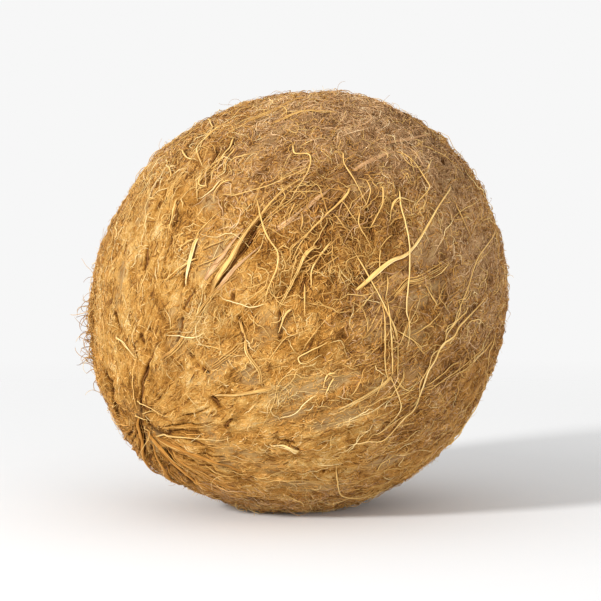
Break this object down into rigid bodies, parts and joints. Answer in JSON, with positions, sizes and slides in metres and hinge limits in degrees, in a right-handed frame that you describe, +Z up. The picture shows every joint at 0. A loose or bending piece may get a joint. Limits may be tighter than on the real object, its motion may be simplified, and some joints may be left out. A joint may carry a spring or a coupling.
{
  "type": "coconut",
  "caption": "Ripe de-husked coconut matted with short golden-brown coir; near-globe drawn to a tip, lying on a small flat spot.",
  "frame": {"origin": "middle of the small flat spot on the underside that the nut rests on", "axes": "+Z up; the tip where the fibres meet points to -X, down and a little to -Y; +X and +Y lie in the resting plane"},
  "size_m": [0.1182, 0.1178, 0.1175],
  "materials": {
    "coir": "matte"
  },
  "bodies": {
    "root": {"coconut": "coir"}
  },
  "joints": []
}
